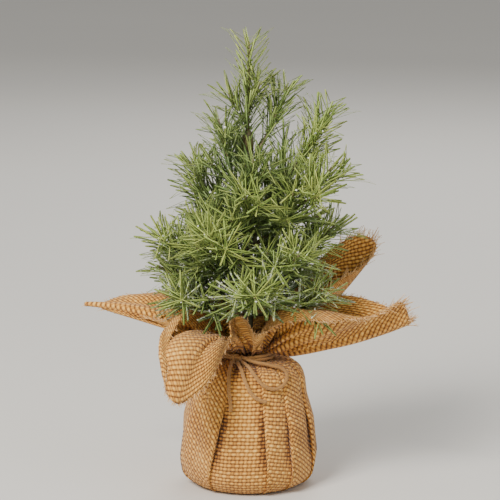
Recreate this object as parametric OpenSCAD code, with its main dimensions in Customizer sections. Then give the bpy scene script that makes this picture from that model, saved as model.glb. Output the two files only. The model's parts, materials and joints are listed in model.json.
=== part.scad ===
// Artificial tabletop tree: moulded needle sprays on bendable wires, bound to a
// steel trunk that stands in a weighted base, wrapped in a square of burlap that
// is tied at the neck with jute twine. The tree stands on Z = 0 and faces -Y.

/* [Overall] */
// Height from the table to the leader's topmost needle
tree_h = 254; // [236:1:290]
// Furthest that a branch's stem reaches from the trunk's axis
crown_r = 58; // [48:1:70]

/* [Base] */
// Width of the base shell above its rounded foot
base_foot_d = 71; // [60:1:84]
// Width of the base shell at its top
base_top_d = 60; // [50:1:70]
// Height of the base shell
base_h = 58; // [48:1:70]
// Rounding of the base shell's foot
foot_round = 11; // [8:0.5:14]
// Wall of the base shell
shell_wall = 1.6; // [1:0.1:3]
// Thickness of the board that closes the base
board_t = 2; // [1:0.5:4]
// Depth of the trunk's socket in the base
socket_depth = 34; // [20:1:40]
// Wall of the trunk's socket
socket_wall = 1.8; // [1:0.1:3]

/* [Trunk] */
// Width of the steel trunk rod
rod_d = 3.2; // [2.4:0.1:5]
// Width of the plastic sleeve on the lower trunk
sleeve_d = 9; // [7:0.5:14]
// Thickness of the tape wound on the upper trunk
tape_t = 1; // [0.5:0.1:2]

/* [Branches] */
// Width of the wire in each branch
wire_d = 0.8; // [0.6:0.1:1]
// Width of a branch's moulded stem near its root
stem_d = 2.4; // [2:0.1:3]
// Width of the moulded bead at a branch's root
bead_d = 3; // [2.6:0.1:4]
// Length of the longest side twig
twig_l = 17; // [8:1:22]
// Length of a needle
needle_l = 9; // [6:0.5:11]
// Distance along a stem from one ring of needles to the next
needle_step = 3.9; // [3.6:0.1:6]

/* [Burlap] */
// Side of the square of cloth
cloth_side = 305; // [290:1:330]
// Thickness of one layer of cloth
cloth_t = 1.2; // [0.8:0.1:2]
// Slack between the base and the cloth round it
cloth_slack = 0.6; // [0.4:0.1:2]
// Width of the gathered neck
neck_d = 26; // [22:1:32]
// Height of the neck's foot above the base shell
neck_rise = 12; // [8:1:20]

/* [Twine] */
// Width of the jute twine
twine_d = 2; // [1.4:0.1:3]
// Turns of twine round the neck
twine_turns = 2; // [1:1:3]
// Width of the twine's knot
knot_d = 4.6; // [4:0.2:7]

/* [Hidden] */
$fn = 64;

// Fits: a sliding fit, and the free gap that keeps neighbouring pieces apart
fit = 0.05;
gap = 0.3;

// The base stands on one layer of cloth, and its pieces follow from there
foot_r = base_foot_d / 2;
top_r = base_top_d / 2;
shell_z = cloth_t + fit;
shell_top = shell_z + base_h;
shell_slope = (foot_r - top_r) / (base_h - foot_round);
opening_r = foot_r - foot_round;
socket_r = sleeve_d / 2 + fit;
socket_z = shell_top - socket_depth;

// The cloth bag: its foot, its shoulder and the neck where it is tied
bag_r = foot_r + cloth_slack + cloth_t;
shoulder_r = top_r + cloth_slack + cloth_t;
neck_r = neck_d / 2;
neck_low = shell_top + neck_rise;
neck_z = neck_low + twine_turns * (twine_d + fit) + 2 * fit;
girth = bag_r + (neck_low - foot_round) + (shoulder_r - neck_r);

// The trunk: a rod from the socket's foot into the leader, a sleeve below, tape above
rod_r = rod_d / 2;
sleeve_top = neck_z + 8;
tape_r = rod_r + fit + tape_t;
crown_z = neck_z + 13;
leader_z = tree_h - needle_l * 0.75;
crown_h = leader_z - crown_z;
rod_top = crown_z + 0.68 * crown_h;
leader_grip = 10;

// A branch turns on its root bead, which rests against the tape
bead_r = bead_d / 2;
pivot_r = tape_r + bead_r + fit;
stem_r = stem_d / 2;
wire_r = wire_d / 2;
wire_reach = 0.62;
wire_steps = 6;
bare_stem = 14;
needle_lean = 42;
twig_lean = 50;

// Branches: [azimuth, root height, tip height, reach]. Heights are shares of the
// crown's height, and the reach is a share of crown_r. Low tiers first.
branches = [
    [ -34, 0.04, 0.14, 0.88], [ -86, 0.07, 0.17, 0.92], [-144, 0.04, 0.14, 0.86],
    [ 162, 0.07, 0.19, 0.90], [ 102, 0.04, 0.15, 0.86], [  45, 0.07, 0.20, 0.82],
    [  -8, 0.17, 0.36, 0.82], [ -58, 0.13, 0.30, 0.88], [-114, 0.17, 0.37, 0.90],
    [-171, 0.13, 0.33, 0.84], [ 132, 0.17, 0.32, 0.80], [  74, 0.13, 0.33, 0.82],
    [ -92, 0.27, 0.49, 0.60], [-144, 0.22, 0.41, 0.56], [ 166, 0.31, 0.57, 0.58],
    [ 119, 0.21, 0.42, 0.60], [  64, 0.28, 0.52, 0.58], [ -29, 0.29, 0.58, 0.88],
    [  10, 0.40, 0.74, 0.78], [-158, 0.44, 0.73, 0.30], [ -84, 0.37, 0.61, 0.42],
    [  98, 0.39, 0.64, 0.44], [  14, 0.60, 0.83, 0.38]
];

// The cloth above the neck, every 45 degrees of the square from the middle of its
// +X side: [azimuth it points to, control radius, control rise, end radius, end rise].
// The odd rows are the four corners, and rises are measured from the neck.
flares = [
    [ 11, 20, 12, 27, 18], [ 31, 50,  8, 83, 51], [ 95, 20, 12, 28, 19], [165, 46, 20, 95, 18],
    [198, 19, 13, 26, 18], [235, 47, 45, 73, -15], [288, 15, 12, 18, 18], [350, 51, 1, 86, 24]
];
phi_steps = 48;
rise_steps = 10;

// The twine's knot, and the routes of its free lengths, as [x, y, z]
knot_at = [-6.2, -16.3, 73.5];
loop_route = [
    [-4, -17.5, 72.5], [-2.5, -20, 72.2], [-0.5, -23.5, 71.4], [1.5, -27, 70], [4, -30, 67],
    [7.5, -31.5, 63], [11.5, -31, 60.5], [15.5, -29.5, 60], [19, -27, 61.5], [21, -24.5, 64.5],
    [20.5, -22.5, 67.8], [17.5, -22, 70], [13.5, -22, 71], [9, -21.5, 72], [4.5, -20.5, 72.5],
    [0, -18.7, 73.5], [-4, -16, 75]
];
left_route = [
    [-8.2, -17, 73], [-9, -19.5, 72.4], [-9.5, -22.5, 71.4], [-10, -25.5, 70], [-10.5, -28.5, 67.2],
    [-10.5, -30.7, 63.5], [-10.5, -32, 59.5], [-10, -33, 55.5], [-9.5, -33.7, 51.5], [-9.5, -34.2, 48.5]
];
right_route = [
    [-6, -18.5, 72.5], [-5.5, -21, 72], [-4.5, -24.5, 71], [-3.5, -27.5, 69.8], [-2.5, -30.3, 67],
    [-1, -32.3, 63.5], [1, -33.3, 59.5], [3.5, -33.7, 56.5], [6.5, -33.7, 54.5], [10, -33.2, 53.5]
];

function two(i) = str(i < 10 ? "0" : "", i);
SPRAYS = [for (i = [1 : len(branches)]) str("spray_", two(i))];
WIRES = [for (i = [1 : len(branches)]) str("branch_wire_", two(i))];

// ---- Facets: triangles as corner triples, counterclockwise seen from outside --

function quad(a, b, c, d) = [[a, b, c], [a, c, d]];
function spike(a, b, c, d, tip) = [[a, b, tip], [b, c, tip], [c, d, tip], [d, a, tip]];
function unit(v) = v / norm(v);
function middle(a, b, c, d) = (a + b + c + d) / 4;

module solid(triangles) {
    polyhedron(
        [for (t = triangles) each t],
        [for (i = [0 : len(triangles) - 1]) [3 * i + 2, 3 * i + 1, 3 * i]]
    );
}

// Walls between neighbouring rings of equal length, and a fan that closes a ring
function walls(rings) = [
    for (i = [0 : len(rings) - 2], k = [0 : len(rings[i]) - 1])
        let (m = (k + 1) % len(rings[i]))
        each quad(rings[i][k], rings[i][m], rings[i + 1][m], rings[i + 1][k])
];
function fan(ring, tip) = [for (k = [0 : len(ring) - 1]) [ring[k], ring[(k + 1) % len(ring)], tip]];
function mean(ring) = [for (k = ring) 1] * ring / len(ring);
function reversed(ring) = [for (k = [len(ring) - 1 : -1 : 0]) ring[k]];

// A ring of corners round a station, which is [point, heading, radius]
function ring(station, side, corners = 6) =
    let (up = cross(station[1], side))
    [for (k = [0 : corners - 1])
        let (a = 360 / corners * (k - 0.5))
        station[0] + station[2] * (cos(a) * side + sin(a) * up)];

// A closed round tube along a path
function heading(path, i) = unit(path[min(i + 1, len(path) - 1)] - path[max(i - 1, 0)]);
function level(d) = unit(cross([0, 0, 1], d));
function tube(path, r, corners = 8) =
    let (rings = [
        for (i = [0 : len(path) - 1])
            let (d = heading(path, i))
            ring([path[i], d, r], level(d), corners)
    ])
    concat(fan(reversed(rings[0]), path[0]), walls(rings), fan(rings[len(path) - 1], path[len(path) - 1]));

// ---- Branches ----------------------------------------------------------------

function bezier(a, b, c, t) = (1 - t) * (1 - t) * a + 2 * t * (1 - t) * b + t * t * c;
function bezier_heading(a, b, c, t) = unit((1 - t) * (b - a) + t * (c - b));

// A branch's stem, in the plane of its azimuth: it leaves low and sweeps up
function stem_curve(b) =
    let (a = [pivot_r, 0, crown_z + b[1] * crown_h], c = [b[3] * crown_r, 0, crown_z + b[2] * crown_h])
    [a, [a[0] + 0.5 * (c[0] - a[0]), 0, a[2] + 0.35 * (c[2] - a[2])], c];
function stem_radius(t) = stem_r * (1 - 0.45 * t);
function station_at(curve, t, r) = [
    bezier(curve[0], curve[1], curve[2], t), bezier_heading(curve[0], curve[1], curve[2], t), r
];
function ahead_of(station, step, r) = [station[0] + step * station[1], station[1], r];
function stem_steps(curve) = round(norm(curve[2] - curve[0]) / needle_step);
function branch_stations(curve) =
    let (root = station_at(curve, 0, bead_r), n = stem_steps(curve))
    concat(
        [ahead_of(root, -0.8 * bead_r, 0.6 * bead_r), root, ahead_of(root, 0.9 * bead_r, stem_r)],
        [for (i = [1 : n]) station_at(curve, i / n, stem_radius(i / n))]
    );

// The wire's stations, and its bore's, from the bead's back into the stem
function wire_stations(curve, r, spare) =
    let (root = station_at(curve, 0, r), far = station_at(curve, wire_reach, r))
    concat(
        [ahead_of(root, -0.8 * bead_r, r)],
        [for (i = [0 : wire_steps - 1]) station_at(curve, wire_reach * i / wire_steps, r)],
        [ahead_of(far, spare, r)]
    );

// Length of a needle: no two neighbours are quite the same
function needle_length(seed) = needle_l * (0.9 + 0.1 * sin(seed * 97));
function needle_tip(corners, ahead, out, lean, seed) =
    middle(corners[0], corners[1], corners[2], corners[3])
    + needle_length(seed) * (cos(lean) * ahead + sin(lean) * out);

// Twigs of a shoot: [segment, face, length]. They stand on its two side faces.
function twigs_on(stations, first, count, long, seed) = [
    for (m = [0 : count - 1])
        let (n = len(stations) - first, s = first + round(n * (0.12 + 0.62 * m / count)))
        [s, (m + seed) % 2 == 0 ? 0 : 3, long * (1 - 0.4 * m / count)]
];
function twig_there(twigs, s, k) = [for (w = twigs) if (w[0] == s && w[1] == k) w];
function shaded(twigs, s, k) = len([for (w = twigs) if (w[1] == k && s > w[0] && s < w[0] + 3) w]) > 0;

// A square twig with needles on three of its faces grows from a face of its stem
function twig(root, ahead, out, long, lean, seed) =
    let (
        e = unit(root[1] - root[0]), at = middle(root[0], root[1], root[2], root[3]),
        d = cos(lean) * ahead + sin(lean) * out, n = max(2, round(long / needle_step)),
        rings = [for (i = [0 : n])
            let (
                u = i / n, h = unit(d + 0.4 * u * ahead), f = cross(h, e),
                p = at + long * (u * d + 0.2 * u * u * ahead), w = 0.42 * stem_r * (1 - 0.35 * u)
            )
            i == 0 ? root : [p - w * f - w * e, p - w * f + w * e, p + w * f + w * e, p + w * f - w * e]]
    )
    concat(
        [for (i = [0 : n - 1], q = [0 : 3])
            let (
                m = (q + 1) % 4, c = [rings[i][q], rings[i][m], rings[i + 1][m], rings[i + 1][q]],
                h = unit(mean(rings[i + 1]) - mean(rings[i])),
                face = q == 0 ? -1 * cross(h, e) : q == 1 ? e : q == 3 ? -1 * e : cross(h, e)
            )
            each i > 0 && q != 2
                ? spike(c[0], c[1], c[2], c[3], needle_tip(c, h, face, needle_lean, seed + 4 * i + q))
                : quad(c[0], c[1], c[2], c[3])],
        fan(rings[n], mean(rings[n]) + 0.8 * needle_l * unit(mean(rings[n]) - mean(rings[n - 1])))
    );

// The outside of a shoot: a hexagonal stem, its needles, its twigs and its tip
function shoot(stations, side, first, twigs, lean, seed) =
    let (rings = [for (s = stations) ring(s, side)], n = len(stations) - 1)
    concat(
        [for (i = [0 : n - 1], k = [0 : 5])
            let (
                m = (k + 1) % 6, c = [rings[i][k], rings[i][m], rings[i + 1][m], rings[i + 1][k]],
                d = stations[i + 1][1], out = cos(60 * k) * side + sin(60 * k) * cross(d, side),
                w = twig_there(twigs, i, k), bare = i < first || (i + k) % 2 == 0 || shaded(twigs, i, k)
            )
            each len(w) > 0
                ? twig(c, d, out, w[0][2], lean, seed + i)
                : bare ? quad(c[0], c[1], c[2], c[3])
                : spike(c[0], c[1], c[2], c[3], needle_tip(c, d, out, needle_lean, seed + 6 * i + k))],
        fan(rings[n], stations[n][0] + needle_l * 0.75 * stations[n][1])
    );

// The root end round a bore, and the bore's own wall and blind end
function bore(root, bore_stations, side) =
    let (rings = [for (s = bore_stations) ring(s, side)], n = len(rings) - 1)
    concat(
        walls([rings[0], ring(root, side)]),
        [for (t = walls(rings)) [t[0], t[2], t[1]]],
        [for (t = fan(rings[n], bore_stations[n][0])) [t[0], t[2], t[1]]]
    );

side = [0, 1, 0];

// One injection-moulded spray, bored for its wire
module spray(i) {
    b = branches[i];
    curve = stem_curve(b);
    stations = branch_stations(curve);
    first = 2 + ceil(bare_stem / needle_step);
    count = max(2, round(norm(curve[2] - curve[0]) / 13));
    twigs = twigs_on(stations, first, count, min(twig_l, 0.26 * norm(curve[2] - curve[0])), i);
    color("olivedrab") rotate([0, 0, b[0]])
        solid(concat(
            shoot(stations, side, first, twigs, twig_lean, i),
            bore(stations[0], wire_stations(curve, wire_r + fit, 2 * fit), side)
        ));
}

module branch_wire(i) {
    b = branches[i];
    stations = wire_stations(stem_curve(b), wire_r, 0);
    rings = [for (s = stations) ring(s, side)];
    n = len(rings) - 1;
    color("gray") rotate([0, 0, b[0]])
        solid(concat(fan(reversed(rings[0]), stations[0][0]), walls(rings), fan(rings[n], stations[n][0])));
}

// The leader grips the rod's end in a hexagonal collar and carries on upwards
module leader_spray() {
    up = [0, 0, 1];
    low = rod_top - leader_grip;
    bore_r = (rod_r + fit) / cos(30);
    steps = round((leader_z - rod_top) / needle_step);
    stations = concat(
        [[[0, 0, low], up, tape_r + 0.2], [[0, 0, rod_top], up, tape_r]],
        [for (i = [1 : steps])
            [[0, 0, rod_top + 1 + (leader_z - rod_top - 1) * i / steps], up, stem_radius(i / steps)]]
    );
    twigs = [[3, 3, 21], [4, 0, 19], [6, 2, 14], [7, 5, 14], [9, 3, 10], [10, 0, 9]];
    color("olivedrab")
        solid(concat(
            shoot(stations, side, 2, twigs, 34, 5),
            bore(stations[0], [[[0, 0, low], up, bore_r], [[0, 0, rod_top + fit], up, bore_r]], side)
        ));
}

// ---- Trunk and base ----------------------------------------------------------

module pipe(r_in, r_out, h) {
    difference() {
        cylinder(h = h, r = r_out);
        translate([0, 0, -1]) cylinder(h = h + 2, r = r_in);
    }
}

module trunk_rod() {
    color("dimgray") translate([0, 0, socket_z + 1]) cylinder(h = rod_top - socket_z - 1, r = rod_r);
}

module trunk_sleeve() {
    color("saddlebrown") translate([0, 0, socket_z + fit])
        pipe(rod_r + fit, sleeve_d / 2, sleeve_top - socket_z - fit);
}

module trunk_tape() {
    color("darkolivegreen") translate([0, 0, sleeve_top + fit])
        pipe(rod_r + fit, tape_r, rod_top - leader_grip - sleeve_top - 2 * fit);
}

// Quarter round of the foot, as [radius, height]
function foot_arc(outer_r, round_r, low) = [
    for (a = [0 : 15 : 90]) [outer_r - round_r + round_r * sin(a), low + round_r * (1 - cos(a))]
];

// Tapered shell with a rounded foot, open below, with the trunk's blind socket in it
module base_shell() {
    socket_out = socket_r + socket_wall;
    socket_low = base_h - socket_depth - socket_wall;
    inner_top = base_h - shell_wall;
    color("tan") translate([0, 0, shell_z]) difference() {
        rotate_extrude()
            polygon(concat(
                foot_arc(foot_r, foot_round, 0),
                [[top_r, base_h], [0, base_h], [0, socket_low], [socket_out, socket_low],
                 [socket_out, inner_top], [top_r - shell_wall + shell_slope * shell_wall, inner_top]],
                reversed(foot_arc(foot_r - shell_wall, foot_round - shell_wall, shell_wall))
            ));
        translate([0, 0, base_h - socket_depth]) cylinder(h = socket_depth + 1, r = socket_r);
        translate([0, 0, -1]) cylinder(h = board_t + shell_wall + 1, r = opening_r);
    }
}

// Cement cast inside the shell, on the board and round the socket
module cement_fill() {
    low = board_t + fit;
    socket_out = socket_r + socket_wall + fit;
    socket_low = base_h - socket_depth - socket_wall - fit;
    wall = shell_wall + fit;
    foot_low = max(wall, low);
    color("lightgray") translate([0, 0, shell_z])
        rotate_extrude()
            polygon(concat(
                [[0, low], [opening_r - fit, low]],
                foot_arc(foot_r - wall - shell_slope * (foot_low - wall), foot_round - wall, foot_low),
                [[top_r - wall + shell_slope * wall, base_h - wall], [socket_out, base_h - wall],
                 [socket_out, socket_low], [0, socket_low]]
            ));
}

module base_board() {
    color("peru") translate([0, 0, shell_z]) cylinder(h = board_t, r = opening_r - fit);
}

// ---- Burlap ------------------------------------------------------------------

// The bag's outside from the underside's edge to the neck's foot, as [radius, height]
function bag_outline() = concat(
    foot_arc(bag_r, foot_round + cloth_slack + cloth_t, 0),
    [[bag_r, 0.42 * shell_top], [shoulder_r + 0.7, 0.93 * shell_top],
     [shoulder_r - 0.9, shell_top + 0.3 * neck_rise], [shoulder_r - 4, shell_top + 0.72 * neck_rise],
     [shoulder_r - 10, neck_low - 0.8], [neck_r, neck_low], [neck_r, neck_z]]
);

// Its inside: it lies on the base, and the gathers fill the room from there to the trunk
function bag_lining() = concat(
    foot_arc(foot_r + cloth_slack, foot_round + cloth_slack, cloth_t),
    [[top_r + cloth_slack, shell_top + fit], [sleeve_d / 2 + gap, shell_top + gap],
     [sleeve_d / 2 + gap, neck_z + cloth_t / 2]]
);

// Distance from the square's middle to its edge, and how near to a corner that is
function edge_at(phi) = let (a = (phi + 45) % 90 - 45) cloth_side / 2 / cos(a);
function cornerness(phi) = (edge_at(phi) - cloth_side / 2) / (cloth_side / 2 * (sqrt(2) - 1));

// A column of flares at phi: azimuths run on evenly, shapes go by nearness to the corner
function azimuth_at(phi) =
    let (i = floor(phi / 45), a = flares[i % 8][0], b = flares[(i + 1) % 8][0])
    a + (phi / 45 - i) * (b + (b < a ? 360 : 0) - a);
function flare_at(phi, column) =
    let (i = floor(phi / 45), c = pow(cornerness(phi), 0.7), w = i % 2 == 0 ? c : 1 - c)
    (1 - w) * flares[i % 8][column] + w * flares[(i + 1) % 8][column];

// The middle of the sheet above the neck. It is scaled by the cloth that the bag leaves:
// the flares' shapes stand for this much at the middle of a side.
flare_cut = 36;
flare_scale = (cloth_side / 2 - girth) / flare_cut;
function flare_point(phi, t) =
    let (p = bezier(
        [neck_r - cloth_t / 2, 0, neck_z],
        [neck_r + (flare_at(phi, 1) - neck_r) * flare_scale, 0, neck_z + flare_at(phi, 2) * flare_scale],
        [neck_r + (flare_at(phi, 3) - neck_r) * flare_scale, 0, neck_z + flare_at(phi, 4) * flare_scale], t
    ))
    turned(p[0], p[2], azimuth_at(phi));
function turned(r, z, azimuth) = [r * cos(azimuth), r * sin(azimuth), z];
function flare_normal(phi, t) =
    let (e = 0.02, q = min(t, 1 - e))
    unit(cross(
        flare_point((phi + 3) % 360, q) - flare_point((phi + 357) % 360, q),
        flare_point(phi, q + e) - flare_point(phi, q)
    ));

// One closed sheet: under and round the base, gathered at the neck, open above it
module burlap_wrap() {
    phis = [for (i = [0 : phi_steps - 1]) 360 * i / phi_steps];
    outside = concat(
        [for (p = bag_outline()) [for (phi = phis) turned(p[0], p[1], azimuth_at(phi))]],
        [for (j = [1 : rise_steps]) [for (phi = phis)
            flare_point(phi, j / rise_steps) + cloth_t / 2 * flare_normal(phi, j / rise_steps)]]
    );
    inside = concat(
        [for (p = bag_lining()) [for (phi = phis) turned(p[0], p[1], azimuth_at(phi))]],
        [for (j = [1 : rise_steps]) [for (phi = phis)
            flare_point(phi, j / rise_steps) - cloth_t / 2 * flare_normal(phi, j / rise_steps)]]
    );
    color("burlywood")
        solid(concat(
            fan(reversed(outside[0]), [0, 0, 0]), walls(outside),
            walls([outside[len(outside) - 1], inside[len(inside) - 1]]),
            [for (t = walls(inside)) [t[0], t[2], t[1]]], fan(inside[0], [0, 0, cloth_t])
        ));
}

// ---- Twine -------------------------------------------------------------------

// The turns lie side by side round the neck
module twine_band() {
    color("goldenrod")
        for (i = [0 : twine_turns - 1])
            translate([0, 0, neck_low + fit + (i + 0.5) * (twine_d + fit)])
                rotate_extrude() translate([neck_r + fit + twine_d / 2, 0]) circle(d = twine_d);
}

module twine_knot() {
    color("goldenrod") translate(knot_at) sphere(d = knot_d);
}

module lace(route) {
    color("goldenrod") solid(tube(route, twine_d / 2));
}

// ---- Assembly ----------------------------------------------------------------

base_board();
base_shell();
cement_fill();
trunk_rod();
trunk_sleeve();
trunk_tape();
leader_spray();
burlap_wrap();
twine_band();
twine_knot();
lace(loop_route);  // bow_loop
lace(left_route);  // tail_left
lace(right_route);  // tail_right
for (i = [0 : len(branches) - 1]) {
    spray(i);
    branch_wire(i);
}
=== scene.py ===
import json
import math

import bpy
import numpy as np
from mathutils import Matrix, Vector


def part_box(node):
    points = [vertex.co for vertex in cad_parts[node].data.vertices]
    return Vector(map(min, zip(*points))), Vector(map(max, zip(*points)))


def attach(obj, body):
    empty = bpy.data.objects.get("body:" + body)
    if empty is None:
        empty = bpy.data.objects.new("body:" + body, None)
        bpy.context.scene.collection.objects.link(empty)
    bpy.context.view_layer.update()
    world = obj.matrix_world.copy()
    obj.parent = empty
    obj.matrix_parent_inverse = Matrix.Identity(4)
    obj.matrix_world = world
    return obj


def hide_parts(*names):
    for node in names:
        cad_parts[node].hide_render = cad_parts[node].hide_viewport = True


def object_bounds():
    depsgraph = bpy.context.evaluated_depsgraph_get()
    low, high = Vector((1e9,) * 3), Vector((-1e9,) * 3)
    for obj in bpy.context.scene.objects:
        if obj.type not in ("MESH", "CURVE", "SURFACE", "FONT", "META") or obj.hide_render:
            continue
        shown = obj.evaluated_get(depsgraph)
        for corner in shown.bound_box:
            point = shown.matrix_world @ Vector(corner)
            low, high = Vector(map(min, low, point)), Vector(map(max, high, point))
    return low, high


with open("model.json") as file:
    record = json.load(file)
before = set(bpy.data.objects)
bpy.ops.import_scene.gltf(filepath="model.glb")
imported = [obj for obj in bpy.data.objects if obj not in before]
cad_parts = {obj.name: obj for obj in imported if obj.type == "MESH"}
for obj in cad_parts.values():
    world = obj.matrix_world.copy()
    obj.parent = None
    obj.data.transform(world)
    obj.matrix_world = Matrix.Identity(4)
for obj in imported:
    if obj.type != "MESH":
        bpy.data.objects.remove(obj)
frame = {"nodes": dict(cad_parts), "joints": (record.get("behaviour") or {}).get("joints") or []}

cad_box = [list(corner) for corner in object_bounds()]
bpy.ops.object.select_all(action="DESELECT")

# ---- Camera, floor and light --------------------------------------------------
# The tree stands on a plain pale floor, seen from a little above at arm's length.
# A large soft lamp stands at the upper left in front, with a weaker one on the right.

camera_place, middle_of_view = Vector((0, -1.346, 0.386)), Vector((0.001, 0, 0.131))
bpy.ops.object.camera_add(location=camera_place)
camera = bpy.context.object
camera.rotation_euler = (middle_of_view - camera_place).to_track_quat("-Z", "Y").to_euler()
camera.data.lens = 180
camera.data.sensor_width = 36
bpy.context.scene.camera = camera


def softbox(name, place, aim, size, power, colour):
    bpy.ops.object.light_add(type="AREA", location=place)
    lamp = bpy.context.object
    lamp.name = name
    lamp.data.size = size
    lamp.data.energy = power
    lamp.data.color = colour
    lamp.rotation_euler = (Vector(aim) - Vector(place)).to_track_quat("-Z", "Y").to_euler()


warm_white, cool_white, soft_white = (1.0, 0.965, 0.90), (0.93, 0.96, 1.0), (1.0, 0.98, 0.95)
softbox("key_lamp", (-0.66, -1.02, 1.12), (0, 0, 0.1), 0.6, 37, warm_white)
softbox("fill_lamp", (1.1, -0.7, 0.7), (0, 0, 0.1), 1.0, 3.5, cool_white)
softbox("back_lamp", (0.3, 1.2, 1.1), (0, 0, 0.15), 0.9, 11, soft_white)

world = bpy.data.worlds.new("studio")
bpy.context.scene.world = world
world.use_nodes = True
room_light = world.node_tree.nodes["Background"]
room_light.inputs["Color"].default_value = (0.80, 0.79, 0.76, 1)
room_light.inputs["Strength"].default_value = 0.55


class Value:
    """A socket of a material that is being built, for sums in plain Python."""

    def __init__(self, finish, socket):
        self.finish, self.socket = finish, socket

    def sum(self, operation, first, second=0.0):
        return self.finish.node("ShaderNodeMath", {"operation": operation}, {0: first, 1: second})

    def __add__(self, other): return self.sum("ADD", self, other)
    def __radd__(self, other): return self.sum("ADD", other, self)
    def __sub__(self, other): return self.sum("SUBTRACT", self, other)
    def __rsub__(self, other): return self.sum("SUBTRACT", other, self)
    def __mul__(self, other): return self.sum("MULTIPLY", self, other)
    def __rmul__(self, other): return self.sum("MULTIPLY", other, self)
    def __truediv__(self, other): return self.sum("DIVIDE", self, other)
    def __pow__(self, other): return self.sum("POWER", self, other)
    def __gt__(self, other): return self.sum("GREATER_THAN", self, other)
    def whole(self): return self.sum("FLOOR", self)
    def part(self): return self.sum("FRACT", self)
    def size(self): return self.sum("ABSOLUTE", self)
    def sine(self): return self.sum("SINE", self)
    def most(self, other): return self.sum("MAXIMUM", self, other)
    def least(self, other): return self.sum("MINIMUM", self, other)


class Finish:
    """A procedural material on one Principled shader."""

    def __init__(self, name, **constants):
        self.material = bpy.data.materials.new(name)
        self.material.use_nodes = True
        self.tree = self.material.node_tree
        self.shader = self.tree.nodes["Principled BSDF"]
        for socket, constant in constants.items():
            self.shader.inputs[socket.replace("_", " ")].default_value = constant

    def give(self, socket, value):
        if isinstance(value, Value):
            self.tree.links.new(value.socket, socket)
        elif hasattr(value, "__len__") and len(value) == 3 and socket.type == "RGBA":
            socket.default_value = (*value, 1)
        else:
            socket.default_value = value

    def node(self, kind, settings=(), inputs=(), output=0):
        made = self.tree.nodes.new(kind)
        for key, value in dict(settings).items():
            if key == "stops":
                ramp = made.color_ramp.elements
                while len(ramp) < len(value):
                    ramp.new(0.5)
                for stop, (place, colour) in zip(ramp, value):
                    stop.position, stop.color = place, (*colour, 1)
            else:
                setattr(made, key, value)
        for key, value in dict(inputs).items():
            self.give(made.inputs[key], value)
        return Value(self, made.outputs[output])

    def where(self):
        return self.node("ShaderNodeTexCoord", output="Object")

    def noise(self, scale, detail=3.0, stretch=(1, 1, 1), at=None):
        place = self.node("ShaderNodeMapping", inputs={"Vector": at or self.where(), "Scale": stretch})
        return self.node("ShaderNodeTexNoise", inputs={"Vector": place, "Scale": scale, "Detail": detail})

    def attribute(self, name):
        return self.node("ShaderNodeAttribute", {"attribute_name": name}, output="Fac")

    def ramp(self, value, *stops):
        return self.node("ShaderNodeValToRGB", {"stops": stops}, {"Fac": value})

    def blend(self, amount, first, second, kind="MIX"):
        return self.node("ShaderNodeMix", {"data_type": "RGBA", "blend_type": kind},
                         {0: amount, 6: first, 7: second}, output=2)

    def paint(self, **links):
        for socket, value in links.items():
            self.give(self.shader.inputs[socket.replace("_", " ")], value)

    def relief(self, height, depth, strength=1.0):
        self.paint(Normal=self.node("ShaderNodeBump", inputs={
            "Height": height, "Distance": depth, "Strength": strength}))


floor_finish = Finish("studio_floor", Roughness=0.85)
floor_finish.paint(Base_Color=floor_finish.blend(
    floor_finish.noise(2.5), (0.66, 0.645, 0.615), (0.70, 0.685, 0.655)))
bpy.ops.mesh.primitive_plane_add(size=8, location=(0, 0, 0))
floor = bpy.context.object
floor.name = "studio_floor"
floor.data.materials.append(floor_finish.material)

# ---- Twine: the bow's loop and two tails --------------------------------------
# Two-ply jute twine, 2 mm thick and limp, tied once in front of the neck. The loop goes
# out of the knot and back into it, and the two ends hang down cut off.

twine_d = 0.002
ply_lay = 0.0062         # one full turn of the two plies
ply_map_length = 0.004   # length of cord to one unit of its map
knot = Vector((-0.0062, -0.0163, 0.0735))
loop_route = [
    (-0.004, -0.0175, 0.0725), (-0.0025, -0.02, 0.0722), (-0.0005, -0.0235, 0.0714),
    (0.0015, -0.027, 0.07), (0.004, -0.03, 0.067), (0.0075, -0.0315, 0.063),
    (0.0115, -0.031, 0.0605), (0.0155, -0.0295, 0.06), (0.019, -0.027, 0.0615),
    (0.021, -0.0245, 0.0645), (0.0205, -0.0225, 0.0678), (0.0175, -0.022, 0.07),
    (0.0135, -0.022, 0.071), (0.009, -0.0215, 0.072), (0.0045, -0.0205, 0.0725),
    (0, -0.0187, 0.0735), (-0.004, -0.016, 0.075),
]
left_route = [
    (-0.0082, -0.017, 0.073), (-0.009, -0.0195, 0.0724), (-0.0095, -0.0225, 0.0714),
    (-0.01, -0.0255, 0.07), (-0.0105, -0.0285, 0.0672), (-0.0105, -0.0307, 0.0635),
    (-0.0105, -0.032, 0.0595), (-0.01, -0.033, 0.0555), (-0.0095, -0.0337, 0.0515),
    (-0.0095, -0.0342, 0.0485),
]
right_route = [
    (-0.006, -0.0185, 0.0725), (-0.0055, -0.021, 0.072), (-0.0045, -0.0245, 0.071),
    (-0.0035, -0.0275, 0.0698), (-0.0025, -0.0303, 0.067), (-0.001, -0.0323, 0.0635),
    (0.001, -0.0333, 0.0595), (0.0035, -0.0337, 0.0565), (0.0065, -0.0337, 0.0545),
    (0.01, -0.0332, 0.0535),
]

jute = Finish("jute_twine", Roughness=0.85, Specular_IOR_Level=0.25, Sheen_Weight=0.25, Sheen_Roughness=0.5)
ply = jute.node("ShaderNodeUVMap", {"uv_map": "lay"})
strand = jute.noise(9, 4, (1, 26, 1), ply)
jute.paint(Base_Color=jute.blend(
    jute.noise(160, 4) * 0.5,
    jute.ramp(strand, (0.3, (0.13, 0.055, 0.013)), (0.5, (0.42, 0.200, 0.048)), (0.72, (0.76, 0.45, 0.16))),
    (0.30, 0.16, 0.065)))
jute.relief(strand + 0.4 * jute.noise(1400, 2), 0.0002)


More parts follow.
